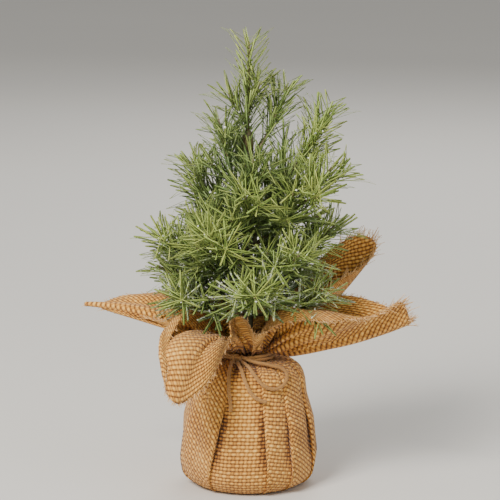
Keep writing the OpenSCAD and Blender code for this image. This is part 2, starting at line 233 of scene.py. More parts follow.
def smooth_route(points, spacing):
    """Catmull-Rom through the points, resampled evenly."""
    p = np.array(points, float)
    p = np.vstack([2 * p[0] - p[1], p, 2 * p[-1] - p[-2]])
    u = np.linspace(0, 1, 12, endpoint=False)[:, None]
    fine = [0.5 * (2 * p[i] + (p[i + 1] - p[i - 1]) * u
                   + (2 * p[i - 1] - 5 * p[i] + 4 * p[i + 1] - p[i + 2]) * u ** 2
                   + (3 * p[i] - p[i - 1] - 3 * p[i + 1] + p[i + 2]) * u ** 3)
            for i in range(1, len(p) - 2)]
    fine = np.vstack(fine + [p[-2:-1]])
    run = np.concatenate([[0], np.cumsum(np.linalg.norm(np.diff(fine, axis=0), axis=1))])
    even = np.linspace(0, run[-1], max(2, round(run[-1] / spacing) + 1))
    return np.stack([np.interp(even, run, fine[:, k]) for k in range(3)], axis=1), even


def headings(path):
    along = np.gradient(path, axis=0)
    return along / np.linalg.norm(along, axis=1)[:, None]


def twisted_cord(name, points, thick):
    """A two-ply cord: two strands that turn round each other once in each lay."""
    path, run = smooth_route(points, spacing=0.0008)
    ahead = headings(path)
    sides = 12
    valley = 0.72       # the radius between the two plies, as a share of the full radius
    side = np.cross(ahead[0], (0.0, 0.31, 0.95))
    verts, faces = [], []
    for p, d, s in zip(path, ahead, run):
        side = side - d * side.dot(d)
        side /= np.linalg.norm(side)
        up = np.cross(d, side)
        turn = 2 * math.pi * s / ply_lay
        for k in range(sides):
            a = 2 * math.pi * k / sides
            r = thick / 2 * (valley + (1 - valley) * abs(math.cos(a - turn)) ** 0.8)
            verts.append(p + r * (math.cos(a) * side + math.sin(a) * up))
    rings = len(path)
    for i in range(rings - 1):
        for k in range(sides):
            m = (k + 1) % sides
            faces.append((i * sides + k, i * sides + m, (i + 1) * sides + m, (i + 1) * sides + k))
    faces.append(tuple(range(sides - 1, -1, -1)))
    faces.append(tuple((rings - 1) * sides + k for k in range(sides)))
    mesh = bpy.data.meshes.new(name)
    mesh.from_pydata([tuple(v) for v in verts], [], faces)
    lay_map = mesh.uv_layers.new(name="lay")
    for poly in mesh.polygons:
        poly.use_smooth = True
        for corner in poly.loop_indices:
            v = mesh.loops[corner].vertex_index
            i, k = divmod(v, sides)
            k = sides if k == 0 and any(mesh.loops[c].vertex_index % sides == sides - 1
                                        for c in poly.loop_indices) else k
            lay_map.data[corner].uv = (run[i] / ply_map_length, k / sides + run[i] / ply_lay)
    cord = bpy.data.objects.new(name, mesh)
    bpy.context.collection.objects.link(cord)
    mesh.materials.append(jute.material)
    return cord, path, float(run[-1])


for name, route, node, far_end in (("twine_bow_loop", loop_route, "bow_loop", "object"),
                                   ("twine_tail_left", left_route, "tail_left", "bare"),
                                   ("twine_tail_right", right_route, "tail_right", "bare")):
    piece, path, long = twisted_cord(name, route, twine_d)
    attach(piece, "stand")
    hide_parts(node)
    [tuple(p) for p in path[::2]] + [tuple(path[-1])]

# ---- The base: a moulded shell, its cement and its board ----------------------
# A tapered plastic pot with a socket for the trunk, filled with cement for weight and
# closed below with a pressed fibre board. The burlap hides all three.


def wear(node, finish):
    """Gives a hidden piece its finish, in place of the plain one."""
    thing = frame["nodes"][node]
    if not thing.material_slots:
        thing.data.materials.append(None)
    for entry in thing.material_slots:
        entry.link = "OBJECT"
        entry.material = finish.material


shell = Finish("shell_plastic", Roughness=0.5)
shell.paint(Base_Color=shell.blend(shell.noise(60), (0.055, 0.034, 0.022), (0.085, 0.055, 0.036)),
            Roughness=0.42 + 0.2 * shell.noise(220))
shell.relief(shell.noise(900), 0.0001)
wear("base_shell", shell)

cement = Finish("cement", Roughness=0.92)
cement.paint(Base_Color=cement.blend(cement.noise(130, 6), (0.28, 0.27, 0.255), (0.46, 0.45, 0.43)))
cement.relief(cement.noise(420, 6), 0.0005)
wear("cement_fill", cement)

board = Finish("fibre_board", Roughness=0.85)
board.paint(Base_Color=board.blend(board.noise(700, 4, (1, 0.15, 1)), (0.30, 0.20, 0.12), (0.42, 0.29, 0.18)))
board.relief(board.noise(900, 4, (1, 0.15, 1)), 0.0002)
wear("base_board", board)

# ---- The trunk: rod, sleeve and tape ------------------------------------------
# A steel rod stands in the base's socket. Its foot wears a moulded bark-brown sleeve,
# and florist's paper tape is wound round it where the branches are bound on.

steel = Finish("rod_steel", Metallic=1.0, Roughness=0.35)
steel.paint(Base_Color=steel.blend(steel.noise(300), (0.42, 0.41, 0.40), (0.56, 0.55, 0.53)),
            Roughness=0.25 + 0.25 * steel.noise(700, 3, (1, 1, 0.1)))
wear("trunk_rod", steel)

bark = Finish("sleeve_plastic", Roughness=0.7)
grain = bark.noise(420, 5, (1, 1, 0.12))
bark.paint(Base_Color=bark.ramp(grain, (0.35, (0.045, 0.026, 0.015)), (0.7, (0.16, 0.095, 0.055))))
bark.relief(grain, 0.0008)
wear("trunk_sleeve", bark)

tape = Finish("floral_tape", Roughness=0.75)
wind = tape.node("ShaderNodeSeparateXYZ", inputs={0: tape.where()}, output="Z")
lap = (wind * 150 + 0.25 * tape.noise(90)).part()
tape.paint(Base_Color=tape.blend(lap, (0.035, 0.045, 0.020), (0.085, 0.085, 0.045)))
tape.relief(lap + 0.3 * tape.noise(900), 0.0004)
wear("trunk_tape", tape)

# ---- Branches -----------------------------------------------------------------
# Injection-moulded cedar sprays: a tapering stem that sweeps up from its root bead,
# side twigs, and stiff pointed needles in whorls of three. The tips are yellow-green,
# painted shade darkens the needles deep inside the crown, and a dusting of white flock lies over the lower
# crown.

needle_long = 0.0073
needle_rings = ((0.3, 1.7, 0.0), (0.74, 2.3, 0.018))    # share of its length, widening, shift back
whorl_pitch = 0.0024
bare_root, bare_twig_foot = 0.009, 0.0025               # no needles on the first stretch
crown_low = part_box("trunk_sleeve")[1].z
crown_top = cad_box[1][2]
cloth_top, trunk_room = 0.101, 0.016                    # needles keep above the cloth, or by the trunk

bpy.ops.mesh.primitive_cone_add(vertices=4, radius1=0.00036, radius2=0.00006, depth=1, location=(0, 0, 0.5))
pattern = bpy.context.object
bpy.ops.object.mode_set(mode="EDIT")
for height, wide, back in needle_rings:
    bpy.ops.mesh.select_all(action="SELECT")
    bpy.ops.mesh.bisect(plane_co=(0, 0, height), plane_no=(0, 0, 1))
    bpy.ops.transform.resize(value=(wide, wide * 0.8, 1), center_override=(0, 0, height))
    bpy.ops.transform.translate(value=(0, back, 0))
bpy.ops.object.mode_set(mode="OBJECT")
needle_points = np.array([v.co for v in pattern.data.vertices])
needle_faces = [tuple(p.vertices) for p in pattern.data.polygons]
bpy.data.objects.remove(pattern)

bpy.ops.mesh.primitive_ico_sphere_add(subdivisions=1, radius=1, location=(0, 0, 0))
pattern = bpy.context.object
fleck_points = np.array([v.co for v in pattern.data.vertices])
fleck_faces = [tuple(p.vertices) for p in pattern.data.polygons]
bpy.data.objects.remove(pattern)

leaf = Finish("foliage", Roughness=0.45, Specular_IOR_Level=0.35)
along, tone, depth = (leaf.attribute(a) for a in ("along", "tone", "depth"))
# Two copies of the needle colours, base to tip: a lit one, and a darker one that is painted shade
lit_green = leaf.ramp(along, (0.0, (0.280, 0.360, 0.095)), (0.45, (0.580, 0.640, 0.150)),
                  (1.0, (0.920, 0.900, 0.310)))
shade = leaf.ramp(along, (0.0, (0.100, 0.160, 0.056)), (0.5, (0.270, 0.350, 0.115)),
                  (1.0, (0.530, 0.590, 0.210)))
# Painted shade: needles deep in the crown take the shaded copy, the outer ones and the top the lit one
green = leaf.blend(depth, shade, lit_green)
bluish = leaf.blend(1.0, green, (0.72, 0.86, 0.76), "MULTIPLY")
green = leaf.blend(tone, green, bluish)
dust, dust_edge, dust_cover = leaf.attribute("frost") * leaf.noise(900, 3), 0.44, 0.6
leaf.paint(Base_Color=leaf.blend((dust > dust_edge) * dust_cover, green, (0.78, 0.83, 0.74)),
           Roughness=0.36 + 0.2 * leaf.noise(500))
leaf.relief(leaf.noise(1500, 2), 0.00008)

twigwood = Finish("stem", Roughness=0.6)
twigwood.paint(Base_Color=twigwood.ramp(
    twigwood.noise(500, 4, (1, 1, 0.3)),
    (0.3, (0.055, 0.050, 0.020)), (0.55, (0.135, 0.105, 0.045)), (0.8, (0.24, 0.20, 0.10))))
twigwood.relief(twigwood.noise(1300, 3), 0.0002)

flock = Finish("frost_flock", Roughness=0.8, Subsurface_Weight=0.2, Subsurface_Radius=(0.001, 0.001, 0.001))
flock.paint(Base_Color=flock.blend(flock.noise(700), (0.80, 0.84, 0.76), (0.93, 0.94, 0.90)))
flock.relief(flock.noise(2500), 0.0002)


def unit(share):
    """Keeps a share between nothing and all."""
    return min(1.0, max(0.0, share))


def shoot(path, thick, thin):
    """A stem or twig: its path, with the radius at each point."""
    return path, np.linspace(thick, thin, len(path))


def needles_on(path, start, draw):
    """Whorls of three along a path, closing up at its tip. Rows: root, direction, back, length."""
    closing = 0.009                 # over this last stretch the needles lean in
    lean_open, lean_in = 53, 28     # degrees from the stem, and how much less at the tip
    third_of_turn, next_whorl = 2.094, 1.05     # radians round the stem
    upward = (0, 0, 0.24)
    run = np.concatenate([[0], np.cumsum(np.linalg.norm(np.diff(path, axis=0), axis=1))])
    ahead = headings(path)
    rows = []
    at, turn = start, draw.uniform(0, 6.28)
    while at < run[-1]:
        p = np.array([np.interp(at, run, path[:, k]) for k in range(3)])
        d = np.array([np.interp(at, run, ahead[:, k]) for k in range(3)])
        d /= np.linalg.norm(d)
        one = np.cross(d, (0.2, 0.35, 0.9))
        one /= np.linalg.norm(one)
        two = np.cross(d, one)
        near_tip = max(0.0, 1 - (run[-1] - at) / closing)
        for k in range(3):
            a = turn + third_of_turn * k + draw.normal(0, 0.22)
            out = math.cos(a) * one + math.sin(a) * two
            lean = math.radians(lean_open - lean_in * near_tip + draw.normal(0, 7))
            way = math.cos(lean) * d + math.sin(lean) * out + upward
            rows.append((p + 0.0004 * out, way / np.linalg.norm(way), out,
                         needle_long * draw.uniform(0.85, 1.08) * (1 - 0.12 * near_tip)))
        turn += next_whorl + draw.normal(0, 0.15)
        at += whorl_pitch * draw.uniform(0.85, 1.15)
    return rows


def foliage(name, body, node, shoots, rows, draw):
    """One spray as a single piece: stems, then a needle at each row, then flecks of flock."""
    needle, stem, fleck = 0, 1, 2               # its material slots
    plain = (0, 0.5, 0.5, 0)                    # marks: along, tone, depth, frost
    sides = 6
    verts, faces, marks, kinds = [], [], [], []
    for path, radii in shoots:
        ahead = headings(path)
        side = np.cross(ahead[0], (0.3, 0.4, 0.87))
        first = len(verts)
        for p, d, r in zip(path, ahead, radii):
            side = side - d * side.dot(d)
            side /= np.linalg.norm(side)
            up = np.cross(d, side)
            for k in range(sides):
                a = k * math.pi / 3
                verts.append(p + r * (math.cos(a) * side + math.sin(a) * up))
                marks.append(plain)
        for i in range(len(path) - 1):
            for k in range(sides):
                m = (k + 1) % sides
                b = first + sides * i
                faces.append((b + k, b + m, b + sides + m, b + sides + k))
        faces.append(tuple(first + k for k in reversed(range(sides))))
        faces.append(tuple(first + sides * (len(path) - 1) + k for k in range(sides)))
    kinds += [stem] * len(faces)
    for p, d, out, long in rows:
        height = (p[2] - crown_low) / (crown_top - crown_low)
        long = long * (0.86 + 0.16 * unit(height))
        tip = p + long * d
        if tip[2] < cloth_top and math.hypot(*tip[:2]) > trunk_room:
            continue
        back = out - d * out.dot(d)
        back /= np.linalg.norm(back)
        wide = np.cross(d, back)
        first = len(verts)
        edge = 0.060 - 0.048 * height           # the crown's radius at this height
        # Painted shade: low near the trunk, high at the crown's edge and near the top
        crown_light_here = max(1.25 * math.hypot(*p[:2]) / edge - 0.32, 2.2 * height - 1.0) + draw.normal(0, 0.12)
        frost_here = max(0.0, 1 - 1.1 * height) * draw.uniform(0.3, 1.0) + 0.12
        tone_here = draw.uniform(0, 1)
        for v in needle_points:
            verts.append(p + v[0] * wide - v[1] * back + v[2] * long * d)
            marks.append((unit(v[2]), tone_here, unit(crown_light_here), frost_here))
        faces += [tuple(first + v for v in f) for f in needle_faces]
    kinds += [needle] * (len(faces) - len(kinds))
    flecks_per_needle = 0.24
    for _ in range(int(len(rows) * flecks_per_needle)):
        p, d, out, long = rows[draw.integers(len(rows))]
        height = (p[2] - crown_low) / (crown_top - crown_low)
        if draw.uniform() < 1.5 * height - 0.15:
            continue
        centre = p + d * long * draw.uniform(0.15, 0.8) + (0, 0, 0.0004)
        first = len(verts)
        grow = draw.uniform(0.00032, 0.00080, 3)
        for v in fleck_points:
            verts.append(centre + v * grow * draw.uniform(0.75, 1.2))
            marks.append(plain)
        faces += [tuple(first + v for v in f) for f in fleck_faces]
    kinds += [fleck] * (len(faces) - len(kinds))
    mesh = bpy.data.meshes.new(name)
    mesh.from_pydata([tuple(v) for v in verts], [], faces)
    for k, mark in enumerate(("along", "tone", "depth", "frost")):
        mesh.attributes.new(mark, "FLOAT", "POINT").data.foreach_set("value", [m[k] for m in marks])
    for finish in (leaf, twigwood, flock):
        mesh.materials.append(finish.material)
    mesh.polygons.foreach_set("material_index", kinds)
    mesh.polygons.foreach_set("use_smooth", [True] * len(faces))
    piece = bpy.data.objects.new(name, mesh)
    bpy.context.collection.objects.link(piece)
    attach(piece, body)
    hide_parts(node)


def bend_forward(root, out, ahead, long, lean, lift=0.0):
    """A side twig that leaves at an angle and curves forward along its stem."""
    u = np.linspace(0, 1, 6)[:, None]
    way = math.cos(lean) * ahead + math.sin(lean) * out
    return root + long * (u * way + 0.30 * u ** 2 * (ahead + (0, 0, lift)))


wire_share = 0.62               # the wire ends at this share of its spray's stem
straight = 0.7                  # the share of a stem's rise that is even, and the rest sweeps up
rise_share = wire_share * (straight + (1 - straight) * wire_share)
lowest_whorl, open_crown = 0.118, 0.145     # heights of the roots
golden_turn = 2.4               # from one twig to the next round the stem, in radians
past_wire = 0.0012              # the point of the stem beside the wire's end lies this much further out
first_twig, bare_length = 0.013, 0.021

for joint in frame["joints"]:
    number = joint["name"].split("_")[1]
    draw = np.random.default_rng(int(number) + 40)
    root = np.array(joint["pos_m"], float)
    low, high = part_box(f"branch_wire_{number}")
    middle = np.array((low + high) / 2)
    far = 2 * middle - root
    far = far + past_wire * (far - root) / np.linalg.norm(far - root)
    span = np.array([*((far - root)[:2] / wire_share), (far - root)[2] / rise_share])
    u = np.linspace(0, 1, 14)[:, None]
    stem = root + np.hstack([u * span[:2], u * (straight + (1 - straight) * u) * span[2]])
    length = float(np.linalg.norm(span))
    shoots = [shoot(stem, 0.0011, 0.0005)]
    rows = needles_on(stem, bare_root, draw)
    ahead = headings(stem)
    twig_gap = 0.0066 if root[2] < open_crown else 0.0115
    twigs = max(2, round((length - 0.012) / twig_gap))
    turn = draw.uniform(0, 6.28)
    for k in range(twigs):
        share = (first_twig + (length - bare_length) * (k + 0.3) / twigs) / length
        i = share * (len(stem) - 1)
        at = np.array([np.interp(i, range(len(stem)), stem[:, c]) for c in range(3)])
        d = ahead[int(round(i))]
        level = np.cross(d, (0, 0, 1))
        level /= np.linalg.norm(level)
        over = np.cross(level, d)
        a = turn + k * golden_turn
        droop = -0.1 if root[2] < lowest_whorl else -0.45
        out = math.cos(a) * level + max(droop, 0.75 * math.sin(a)) * over
        out /= np.linalg.norm(out)
        long = min(0.024, 0.26 * length + 0.004) * (1.05 - 0.5 * share) * draw.uniform(0.85, 1.1)
        twig = bend_forward(at, out, d, long, math.radians(draw.uniform(44, 56)), 0.15)
        shoots.append(shoot(twig, 0.00055, 0.0003))
        rows += needles_on(twig, bare_twig_foot, draw)
    foliage(f"branch_{number}_foliage", joint["child"], f"spray_{number}", shoots, rows, draw)

wire = Finish("branch_wire", Metallic=1.0, Roughness=0.4)
wire.paint(Base_Color=wire.blend(wire.noise(400), (0.30, 0.29, 0.27), (0.46, 0.45, 0.43)),
           Roughness=0.32 + 0.2 * wire.noise(900))
for node in frame["nodes"]:
    if node.startswith("branch_wire"):
        wear(node, wire)

# ---- The leader ---------------------------------------------------------------
# The top spray is pushed over the rod's end and bound with the tape. It stands
# straight up, with three twigs low down and a close tuft at its tip.

draw = np.random.default_rng(7)
collar_low, collar_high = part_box("leader_spray")[0].z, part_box("trunk_rod")[1].z
top_needles = 0.00875           # the last needles stand this far past the stem
heights = np.linspace(collar_high - 0.001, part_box("leader_spray")[1].z - top_needles, 12)
leader_stem = np.stack([0.0006 * np.sin(heights * 60), 0.0005 * np.cos(heights * 75), heights], axis=1)
collar = np.array([[0, 0, collar_low], [0, 0, collar_high - 0.002], [0, 0, collar_high + 0.001]])
shoots = [(collar, np.array([0.0033, 0.0030, 0.0014])), shoot(leader_stem, 0.0012, 0.0005)]
rows = needles_on(leader_stem, 0.001, draw)
for height, azimuth, long, lean in ((0.004, 205, 0.017, 44), (0.009, 66, 0.016, 42), (0.015, -40, 0.012, 46)):
    a = math.radians(azimuth)
    twig = bend_forward(np.array([0, 0, collar_high + height]), np.array([math.cos(a), math.sin(a), 0]),
                        np.array([0, 0, 1.0]), long, math.radians(lean))
    shoots.append(shoot(twig, 0.0006, 0.0003))
    rows += needles_on(twig, bare_twig_foot, draw)
collar_path = np.stack([np.zeros(8), np.zeros(8), np.linspace(collar_low, collar_high, 8)], axis=1)
rows += needles_on(collar_path, 0.001, draw)
foliage("leader_foliage", "stand", "leader_spray", shoots, rows, draw)

# ---- The burlap wrap ----------------------------------------------------------
# One 305 mm square of loosely woven jute. The base stands on its middle, the sides are
# drawn up in knife pleats and tied at the neck, and the four corners open out above the
# tie as flaps, with the rest of the edge standing between them in ruffles.

cloth_thick = 0.0008
layer = 0.00095                 # from one layer of a pleat to the next
base_low, base_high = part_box("base_shell")
band_low, band_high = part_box("twine_band")
foot_r = float(base_high.x)
rim_r = foot_r - 0.0055         # the shell's radius at its top
neck_r = float(band_high.x) - twine_d - 0.0006
underside = 0.0005              # height of the cloth under the base
neck_low, neck_high = float(band_low.z), float(band_high.z)
shell_top = float(base_high.z)

# Each pleat: azimuth at the shoulder and at the foot, the side it folds under (1 is
# counterclockwise), its depth at the shoulder, and how its panel's weave is turned.
pleats = [
    (-158, -168, 1, 0.013, 42), (-111, -128, -1, 0.013, 0), (-75, -73, 1, 0.011, 14),
    (-51, -49, 1, 0.015, 33), (-20, -16, 1, 0.0165, 47), (12, 9, 1, 0.0165, 12),
    (45, 49, 1, 0.0175, 40), (80, 78, 1, 0.0165, 4), (112, 117, 1, 0.0195, 26), (150, 146, 1, 0.026, 48),
]

# The rim, counterclockwise from the back left: the neck azimuth of a line of the cloth,
# then its control point and its end on the rim, in millimetres
rim = [
    (-180, (-30, -7, 86), (-64, 14, 92)), (-172, (-24, -11, 83), (-44, 1, 91.5)),
    (-165, (-19, -10, 90), (-26, -9, 98)),
    (-158, (-22, -17, 100), (-31, -27, 103)), (-150, (-46, -26, 114), (-41, -45, 93)),
    (-141, (-58, -38, 112), (-43, -59, 79)), (-132, (-46, -44, 113), (-43, -65, 67)),
    (-124, (-27, -48, 109), (-37, -66.5, 61)), (-116, (-22, -45, 104), (-27, -60, 65)),
    (-108, (-15, -39, 99), (-18, -49, 75)), (-100, (-10, -29, 95), (-10.5, -36, 87)),
    (-93, (-8, -21, 90), (-9, -25, 97)),
    (-85, (-6, -17, 87), (-9, -17, 99)), (-77, (-1, -19, 85), (-2, -20, 96)),
    (-70, (3, -20, 80), (4, -22, 88)),
    (-61, (8, -22, 95), (14, -31, 95)), (-52, (19, -23, 117), (31, -37, 100)),
    (-43, (28, -25, 114), (47, -35, 99)), (-34, (36, -25, 100), (64, -28, 99)),
    (-25, (42, -20, 83), (81, -21, 106)), (-17, (44, -15, 76), (87, -16, 99)),
    (-9, (44, -9, 76), (86, -10, 92)), (-1, (38, -3, 83), (78, -4, 99)),
    (6, (28, 3, 91), (55, 4, 105)), (12, (20, 5, 90), (33, 7, 101)),
    (19, (21, 9, 91), (36, 14, 104)), (26, (34, 14, 88), (55, 25, 112)),
    (33, (44, 20, 86), (68, 35, 117)), (40, (44, 26, 86), (72, 42, 127)),
    (48, (38, 30, 88), (62, 45, 131)), (57, (28, 30, 90), (45, 41, 122)),
    (67, (18, 24, 90), (28, 33, 106)),
    (76, (10, 20, 88), (16, 26, 98)), (84, (5, 21, 90), (8, 32, 93)), (92, (0, 19, 87), (-1, 25, 99)),
    (100, (-5, 21, 90), (-8, 31, 92)), (108, (-9, 18, 88), (-14, 25, 98)),
    (117, (-14, 21, 90), (-21, 31, 97)),
    (128, (-22, 22, 92), (-38, 34, 103)), (140, (-32, 16, 104), (-66, 28, 99)),
    (151, (-38, 7, 104), (-84, 26, 96.5)), (162, (-45, 3, 97), (-91.5, 25, 95)),
    (172, (-40, -4, 89), (-82, 22, 93.5)),
]
flap_edges = (-165, -81, 12, 92)          # where one corner's flap gives way to the next
flap_middles = (162, -124, -13, 38)       # the azimuth of each corner


def bag_line():
    """The cloth's line up the base, as (radius, height), resampled evenly to the neck."""
    foot_inner, foot_bend = foot_r - 0.011, 0.0118
    points = [(foot_inner, underside)]
    for k in range(1, 6):
        a = math.radians(90 - 15 * k)
        points.append((foot_inner + foot_bend * math.cos(a), underside + foot_bend * (1 - math.sin(a))))
    points += [(foot_r + 0.0007, 0.0165), (foot_r - 0.0005, 0.024), (foot_r - 0.0027, 0.040),
               (rim_r + 0.0008, shell_top - 0.003), (rim_r - 0.0002, shell_top + 0.0025),
               (rim_r - 0.0032, shell_top + 0.0072), (rim_r - 0.0085, shell_top + 0.0101),
               (neck_r + 0.0022, neck_low - 0.0012), (neck_r, neck_low + 0.0004), (neck_r, neck_high)]
    return smooth_route([(r, 0, z) for r, z in points], spacing=0.0017)[0][:, [0, 2]]


def section(radius, height, gathered):
    """One turn of the cloth at a height: the azimuth and radius of each column."""
    open_up = unit((height - 0.006) / (shell_top - 0.006))      # the pleats deepen upwards
    shoulder = unit((height - 0.038) / 0.014)                   # and lie flat at the shoulder
    gape = 2.4 * math.sin(math.pi * unit((height - 0.010) / 0.040)) * (1 - gathered)
    apart = layer * (1 - 0.35 * shoulder)
    share = unit(height / shell_top)
    at = [math.radians(p[1] + (p[0] - p[1]) * share) for p in pleats]
    fade = 0.0075 / radius                                      # a fold's round back, as an angle
    edge = 0.0004 / radius
    run = np.linspace(0, 1, 5)
    across_panel = np.linspace(0, 1, 15)[:-1]
    fold_lift = (2.0 + gape) * open_up ** 0.4
    columns = []
    for k, (_, _, lay, depth, _) in enumerate(pleats):
        after = (k + 1) % len(pleats)
        here, following = at[k], at[after] + (0 if after else 2 * math.pi)
        lay_next, depth_next = pleats[after][2:4]
        hide = open_up * depth / rim_r + 0.0006 / radius
        hide_next = open_up * depth_next / rim_r
        if lay > 0:      # under the coming panel, back, and round its fold edge
            columns += [(here + hide * x, 0.0) for x in run]
            columns += [(here + hide * (1 - x) * 0.97, 1.0) for x in run]
            columns += [(here - edge, 1.55 + 0.7 * gape)]
        else:            # back under the last panel, and out from below it
            columns += [(here + edge, 1.55 + 0.7 * gape)]
            columns += [(here - hide * x * 0.97, 1.0) for x in run]
            columns += [(here - hide * (1 - x), 0.0) for x in run]
        for x in across_panel:
            a = here + (following - here) * (x + 0.5 / 15)
            lift = 0.0
            if lay > 0:
                lift = fold_lift * unit(1 - (a - here) / (fade + hide))
            if lay_next < 0:
                lift = max(lift, fold_lift * unit(1 - (following - a) / (fade + hide_next)))
            bulge = math.sin(math.pi * x) ** 0.5 * (1 - shoulder)
            ridge = 1.1 * max(0.0, open_up - 0.45) * (1 - gathered) * math.cos(21 * a + 1.7 * math.sin(3 * a))
            columns.append((a, lift + bulge * (1.9 * open_up ** 0.7 + ridge)))
    gathers = len(columns) // 5
    ring = []
    for c, (a, level) in enumerate(columns):
        ripple = gathered * 0.0020 * (math.cos(2 * math.pi * c * gathers / len(columns)) - 1)
        ring.append((a, radius + apart * (level - gathered) + ripple))
    return ring


grid = []
for r in (0.004, 0.010, 0.0165, 0.0215):
    grid.append([(r * math.cos(a), r * math.sin(a), underside) for a, _ in section(r, 0.0, 0.0)])
flat_rows = len(grid)
for r, z in bag_line():
    gathered = unit((rim_r - r) / (rim_r - neck_r)) if z > shell_top else 0.0
    ring = section(float(r), float(z), gathered)
    grid.append([(q * math.cos(a), q * math.sin(a), float(z)) for a, q in ring])
grid = np.array(grid)
neck_row = len(grid) - 1
columns = grid.shape[1]
# The columns start at the first pleat, and each stands for an equal share of the neck
nominal = (pleats[0][0] + 180 + 360 * (np.arange(columns) + 0.5) / columns) % 360 - 180

keys = np.array([k[0] for k in rim], float)
controls = np.array([k[1] for k in rim]) / 1000
ends = np.array([k[2] for k in rim]) / 1000


def along_rim(table, azimuth):
    """Catmull-Rom through a table of the rim, which closes on itself."""
    count = len(keys)
    i = int(np.searchsorted(keys, azimuth, side="right")) - 1
    gap = (keys[(i + 1) % count] - keys[i]) % 360
    u = ((azimuth - keys[i]) % 360) / gap
    a, b, c, d = (table[(i + k) % count] for k in (-1, 0, 1, 2))
    return 0.5 * (2 * b + (c - a) * u + (2 * a - 5 * b + 4 * c - d) * u ** 2
                  + (3 * b - a - 3 * c + d) * u ** 3)


control = np.array([along_rim(controls, a) for a in nominal])
end = np.array([along_rim(ends, a) for a in nominal])
rise = 34
flap_rows = []
for j in range(1, rise + 1):
    t = j / rise
    flap_rows.append((1 - t) ** 2 * grid[neck_row] + 2 * t * (1 - t) * control + t * t * end)
grid = np.concatenate([grid, np.array(flap_rows)])

# The gathers run on above the tie and die out, and slow waves run along the rim
smooth_grid = grid.copy()
fine_high, slow_high, slow_phase = 0.0030, 0.0044, 0.9663265
wave = np.arange(columns)
around = np.roll(grid, -1, axis=1) - np.roll(grid, 1, axis=1)
upward = np.gradient(grid, axis=0)
normal = np.cross(around, upward)
normal /= np.maximum(np.linalg.norm(normal, axis=2), 1e-9)[:, :, None]
for j in range(1, rise + 1):
    t = j / rise
    fine = fine_high * math.exp(-(t * 3.2) ** 2) * min(1.0, 6 * t) * np.cos(2 * math.pi * wave / 5)
    slow = slow_high * t * (1.25 - t) * np.sin(2 * math.pi * wave / 12.5 + slow_phase)
    grid[neck_row + j] += normal[neck_row + j] * (fine + slow)[:, None]

verts = [tuple(p) for row in grid for p in row] + [(0, 0, underside)]
faces = []
for j in range(len(grid) - 1):
    for c in range(columns):
        n = (c + 1) % columns
        faces.append((j * columns + c, j * columns + n, (j + 1) * columns + n, (j + 1) * columns + c))
centre = len(verts) - 1
faces += [(centre, (c + 1) % columns, c) for c in range(columns)]
cloth_mesh = bpy.data.meshes.new("burlap_cloth")
cloth_mesh.from_pydata(verts, [], faces)

# Painted shade: the cloth's colour is darkened where it lies in a crease, and where it bunches above the tie
crease = np.zeros(grid.shape[:2])
turn_to = np.arctan2(grid[:, :, 1], grid[:, :, 0])
from_axis = np.hypot(grid[:, :, 0], grid[:, :, 1])
beside, shallow, deep = 0.0042, 0.0006, 0.0022
for j in range(flat_rows + 1, neck_row + 1):
    between = (turn_to[j][:, None] - turn_to[j][None, :] + math.pi) % (2 * math.pi) - math.pi
    proud = np.where(np.abs(between) * from_axis[j] < beside, from_axis[j][None, :], 0).max(axis=1)
    fading = unit((grid[j, 0, 2] - 0.006) / 0.018)
    crease[j] = fading * np.clip((proud - from_axis[j] - shallow) / deep, 0, 1)
for j in range(1, rise + 1):
    crease[neck_row + j] = 0.75 * math.exp(-(j / rise * 5.5) ** 2)
cloth_mesh.attributes.new("crease", "FLOAT", "POINT").data.foreach_set("value", [*crease.ravel(), 0.0])

# The weave lies true on each panel and flap: it is laid by length along the cloth
neck_climb = 0.100
climb = np.concatenate([
    np.zeros((1, columns)), np.cumsum(np.linalg.norm(np.diff(grid, axis=0), axis=2), axis=0)])
flap_climb = np.cumsum(np.linalg.norm(np.diff(smooth_grid[neck_row:], axis=0), axis=2), axis=0)
climb[neck_row] = neck_climb
climb[neck_row + 1:] = neck_climb + np.mean([np.roll(flap_climb, k, axis=1) for k in range(-7, 8)], axis=0)
step = np.linalg.norm(np.roll(smooth_grid, -1, axis=1) - smooth_grid, axis=2)
arc = np.concatenate([np.zeros((len(grid), 1)), np.cumsum(step, axis=1)], axis=1)
per_panel = columns // len(pleats)
panel_middle = 18               # columns from a pleat to the middle of its panel
flap_of = [sum(azimuth >= edge for edge in flap_edges) % 4 for azimuth in nominal]
middle_column = [int(np.argmin(np.abs((nominal - m + 180) % 360 - 180))) for m in flap_middles]
flap_turn, map_gap = 45, 0.031
weave = cloth_mesh.uv_layers.new(name="weave")
for poly in cloth_mesh.polygons:
    row, column = divmod(poly.vertices[0], columns)
    if len(poly.vertices) == 3 or row <= flat_rows:
        for corner, v in zip(poly.loop_indices, poly.vertices):
            weave.data[corner].uv = verts[v][:2]
        continue
    if row >= neck_row:
        start, turn, key = middle_column[flap_of[column]], flap_turn, flap_of[column] + 20
    else:
        key = column // per_panel
        start, turn = key * per_panel + panel_middle, pleats[key][4]
    cos, sin = math.cos(math.radians(turn)), math.sin(math.radians(turn))
    for corner, v in zip(poly.loop_indices, poly.vertices):
        j, c = divmod(v, columns)
        whole = arc[j, columns]
        a = (arc[j, c] - arc[j, start] + whole / 2) % whole - whole / 2
        b = climb[j, c]
        weave.data[corner].uv = (a * cos - b * sin + map_gap * key, a * sin + b * cos)

cloth = bpy.data.objects.new("burlap_cloth", cloth_mesh)
bpy.context.collection.objects.link(cloth)
bpy.ops.object.select_all(action="DESELECT")
cloth.select_set(True)
bpy.context.view_layer.objects.active = cloth
thicken = cloth.modifiers.new("thickness", "SOLIDIFY")
thicken.thickness = cloth_thick
thicken.offset = 0
bpy.ops.object.modifier_apply(modifier=thicken.name)
for poly in cloth_mesh.polygons:
    poly.use_smooth = True

